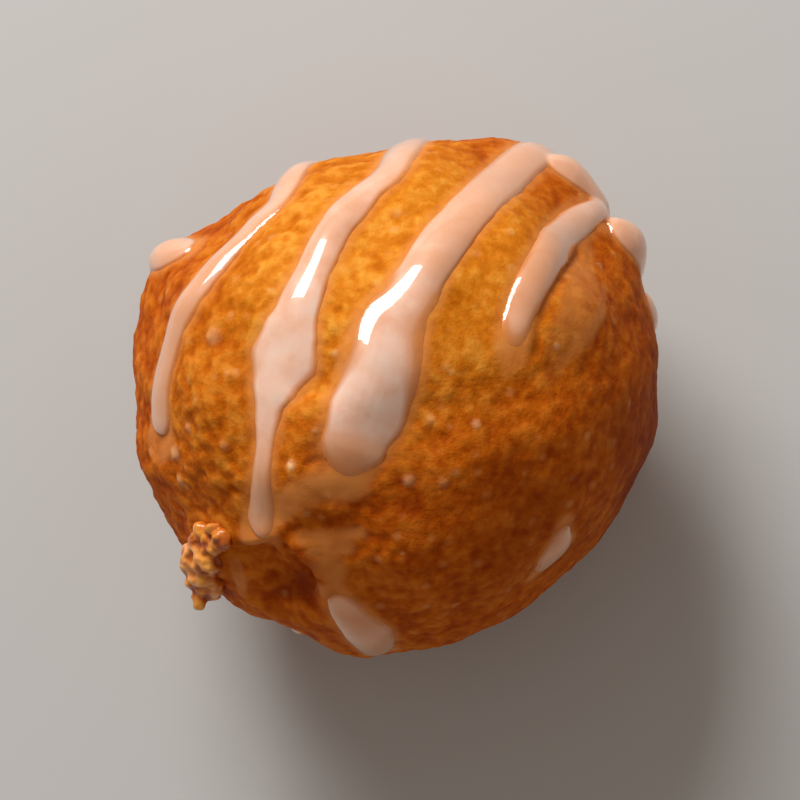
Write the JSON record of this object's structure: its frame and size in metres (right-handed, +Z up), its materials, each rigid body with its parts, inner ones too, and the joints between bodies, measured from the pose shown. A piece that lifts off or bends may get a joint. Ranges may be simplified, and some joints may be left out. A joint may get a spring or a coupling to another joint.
{
  "type": "doughnut hole",
  "caption": "Ball of fried dough with a browned, slightly craggy crust and white icing drizzled in stripes over its face, resting on a small flat spot.",
  "frame": {"origin": "middle of the flat spot that the ball rests on", "axes": "+Z up; the iced face looks up, leaning 10 degrees towards +X and -Y; the stripes run mainly along Y"},
  "size_m": [0.0348, 0.0344, 0.0318],
  "materials": {
    "fried_dough": "golden brown fried crust with a fine crumb and a thin sugar sheen",
    "icing": "set sugar icing, off-white and slightly see-through, glossy"
  },
  "bodies": {
    "root": {"doughnut_hole": "fried_dough"}
  },
  "joints": []
}
